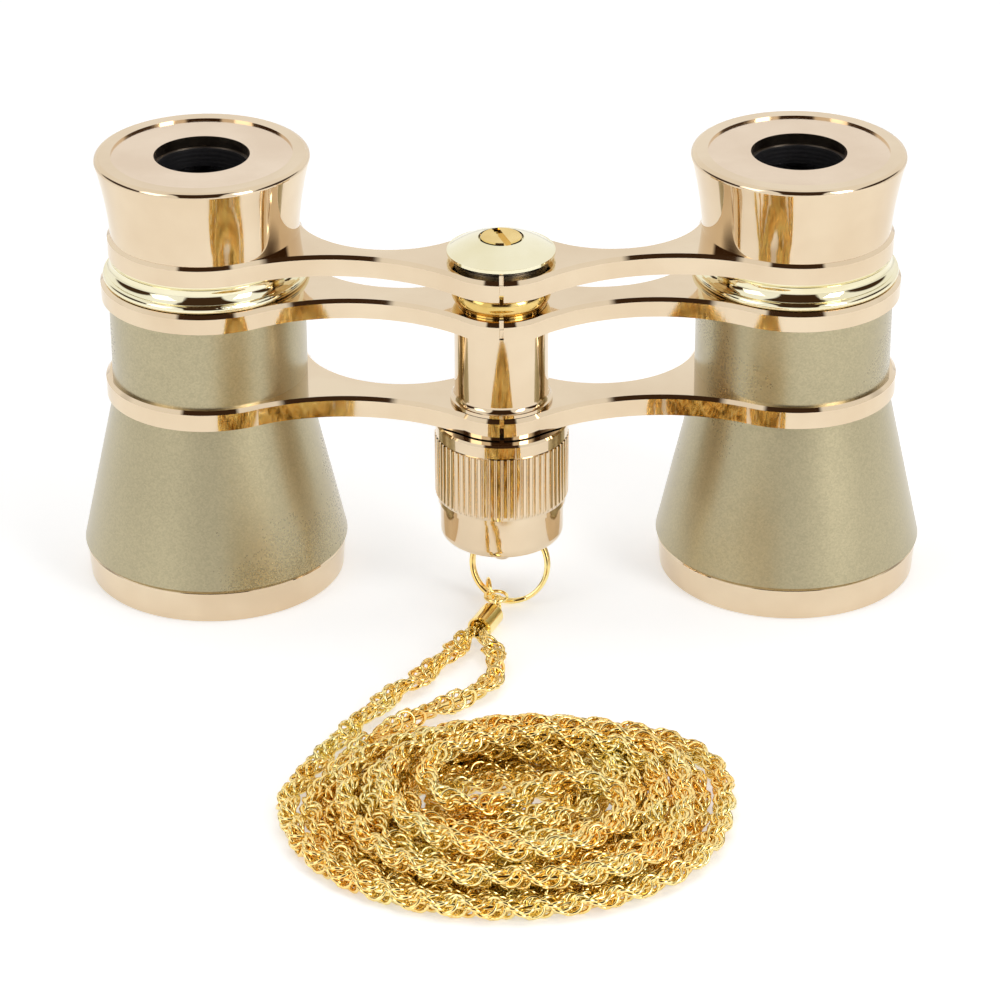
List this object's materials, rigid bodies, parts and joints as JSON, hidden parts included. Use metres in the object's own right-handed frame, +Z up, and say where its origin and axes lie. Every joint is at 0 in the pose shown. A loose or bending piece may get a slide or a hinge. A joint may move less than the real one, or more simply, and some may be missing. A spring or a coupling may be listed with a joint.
{
  "type": "opera glasses",
  "caption": "Folding opera glasses with waisted eyecups, flared objective housings, a ribbed focusing knob below the hinge and a rope chain on a split ring.",
  "frame": {"origin": "on the ground midway between the two objective rings", "axes": "+Z up along the optical axes, +X to the viewer's right along the line through both barrels, -Y the side with the hinge and the chain"},
  "size_m": [0.1094, 0.1042, 0.0582],
  "materials": {
    "rose_gold": "brass with polished rose-gold plating",
    "rose_satin": "brass with satin rose-gold plating",
    "pale_brass": "turned pale brass",
    "golden_brass": "polished golden brass",
    "champagne_lacquer": "brass tube under a satin champagne metallic lacquer",
    "chain_gold": "polished yellow-gold plating",
    "optical_glass": "polished optical glass",
    "black_anodised": "matt black anodised",
    "dark_steel": "blackened steel",
    "bright_steel": "turned bright steel"
  },
  "bodies": {
    "column": {"hinge_column": "rose_gold", "hinge_collar": "golden_brass", "screw_bearing": "dark_steel", "lift_key": "bright_steel", "swivel_eye": "rose_gold", "chain_heap": "chain_gold", "chain_strand_left": "chain_gold", "chain_strand_right": "chain_gold"},
    "left_half": {"left_lower_arm": "rose_gold", "left_middle_arm": "rose_gold", "left_barrel": "champagne_lacquer", "left_guide_ring": "pale_brass", "left_housing": "champagne_lacquer", "left_foot_ring": "rose_gold", "left_objective": "optical_glass", "left_objective_retainer": "black_anodised"},
    "right_half": {"right_lower_arm": "rose_gold", "right_middle_arm": "rose_gold", "right_barrel": "champagne_lacquer", "right_guide_ring": "pale_brass", "right_housing": "champagne_lacquer", "right_foot_ring": "rose_gold", "right_objective": "optical_glass", "right_objective_retainer": "black_anodised"},
    "left_eyepiece": {"left_upper_arm": "rose_gold", "left_eyecup": "rose_gold", "left_eyeplate": "rose_satin", "left_eye_tube": "pale_brass", "left_eye_lens": "optical_glass", "left_eye_liner": "black_anodised"},
    "right_eyepiece": {"right_upper_arm": "rose_gold", "right_eyecup": "rose_gold", "right_eyeplate": "rose_satin", "right_eye_tube": "pale_brass", "right_eye_lens": "optical_glass", "right_eye_liner": "black_anodised"},
    "lift": {"lift_tube": "pale_brass", "friction_washer": "dark_steel", "hinge_cap": "pale_brass", "cap_screw": "golden_brass"},
    "knob": {"focus_knob": "rose_gold", "focus_screw": "bright_steel"},
    "ring": {"split_ring": "chain_gold", "ring_link": "chain_gold", "cap_link": "chain_gold", "chain_end_cap": "chain_gold"}
  },
  "joints": [
    {"name": "left_fold", "type": "hinge", "parent": "column", "child": "left_half", "pos_m": [0, -0.0093, 0.027], "axis": [0, 0, -1], "range_deg": [0, 30]},
    {"name": "right_fold", "type": "hinge", "parent": "column", "child": "right_half", "pos_m": [0, -0.0093, 0.027], "axis": [0, 0, 1], "range_deg": [0, 30]},
    {"name": "left_focus", "type": "slide", "parent": "left_half", "child": "left_eyepiece", "axis": [0, 0, 1], "range_m": [0, 0.006]},
    {"name": "right_focus", "type": "slide", "parent": "right_half", "child": "right_eyepiece", "axis": [0, 0, 1], "range_m": [0, 0.006]},
    {"name": "lift_slide", "type": "slide", "parent": "column", "child": "lift", "axis": [0, 0, 1], "range_m": [0, 0.006]},
    {"name": "knob_turn", "type": "hinge", "parent": "column", "child": "knob", "pos_m": [0, -0.0093, 0.017], "axis": [0, 0, 1], "range_deg": [0, 540]},
    {"name": "ring_swing", "type": "hinge", "parent": "column", "child": "ring", "pos_m": [0, -0.0093, 0.00995], "axis": [-0.9659, 0.2588, 0], "range_deg": [0, 30], "deforming": ["chain_strand_left", "chain_strand_right"]}
  ],
  "couplings": [
    {"joint": "right_fold", "follows": "left_fold", "ratio": 1},
    {"joint": "left_focus", "follows": "lift_slide", "ratio": 1},
    {"joint": "right_focus", "follows": "lift_slide", "ratio": 1},
    {"joint": "knob_turn", "follows": "lift_slide", "rad_per_m": 1570.7}
  ]
}
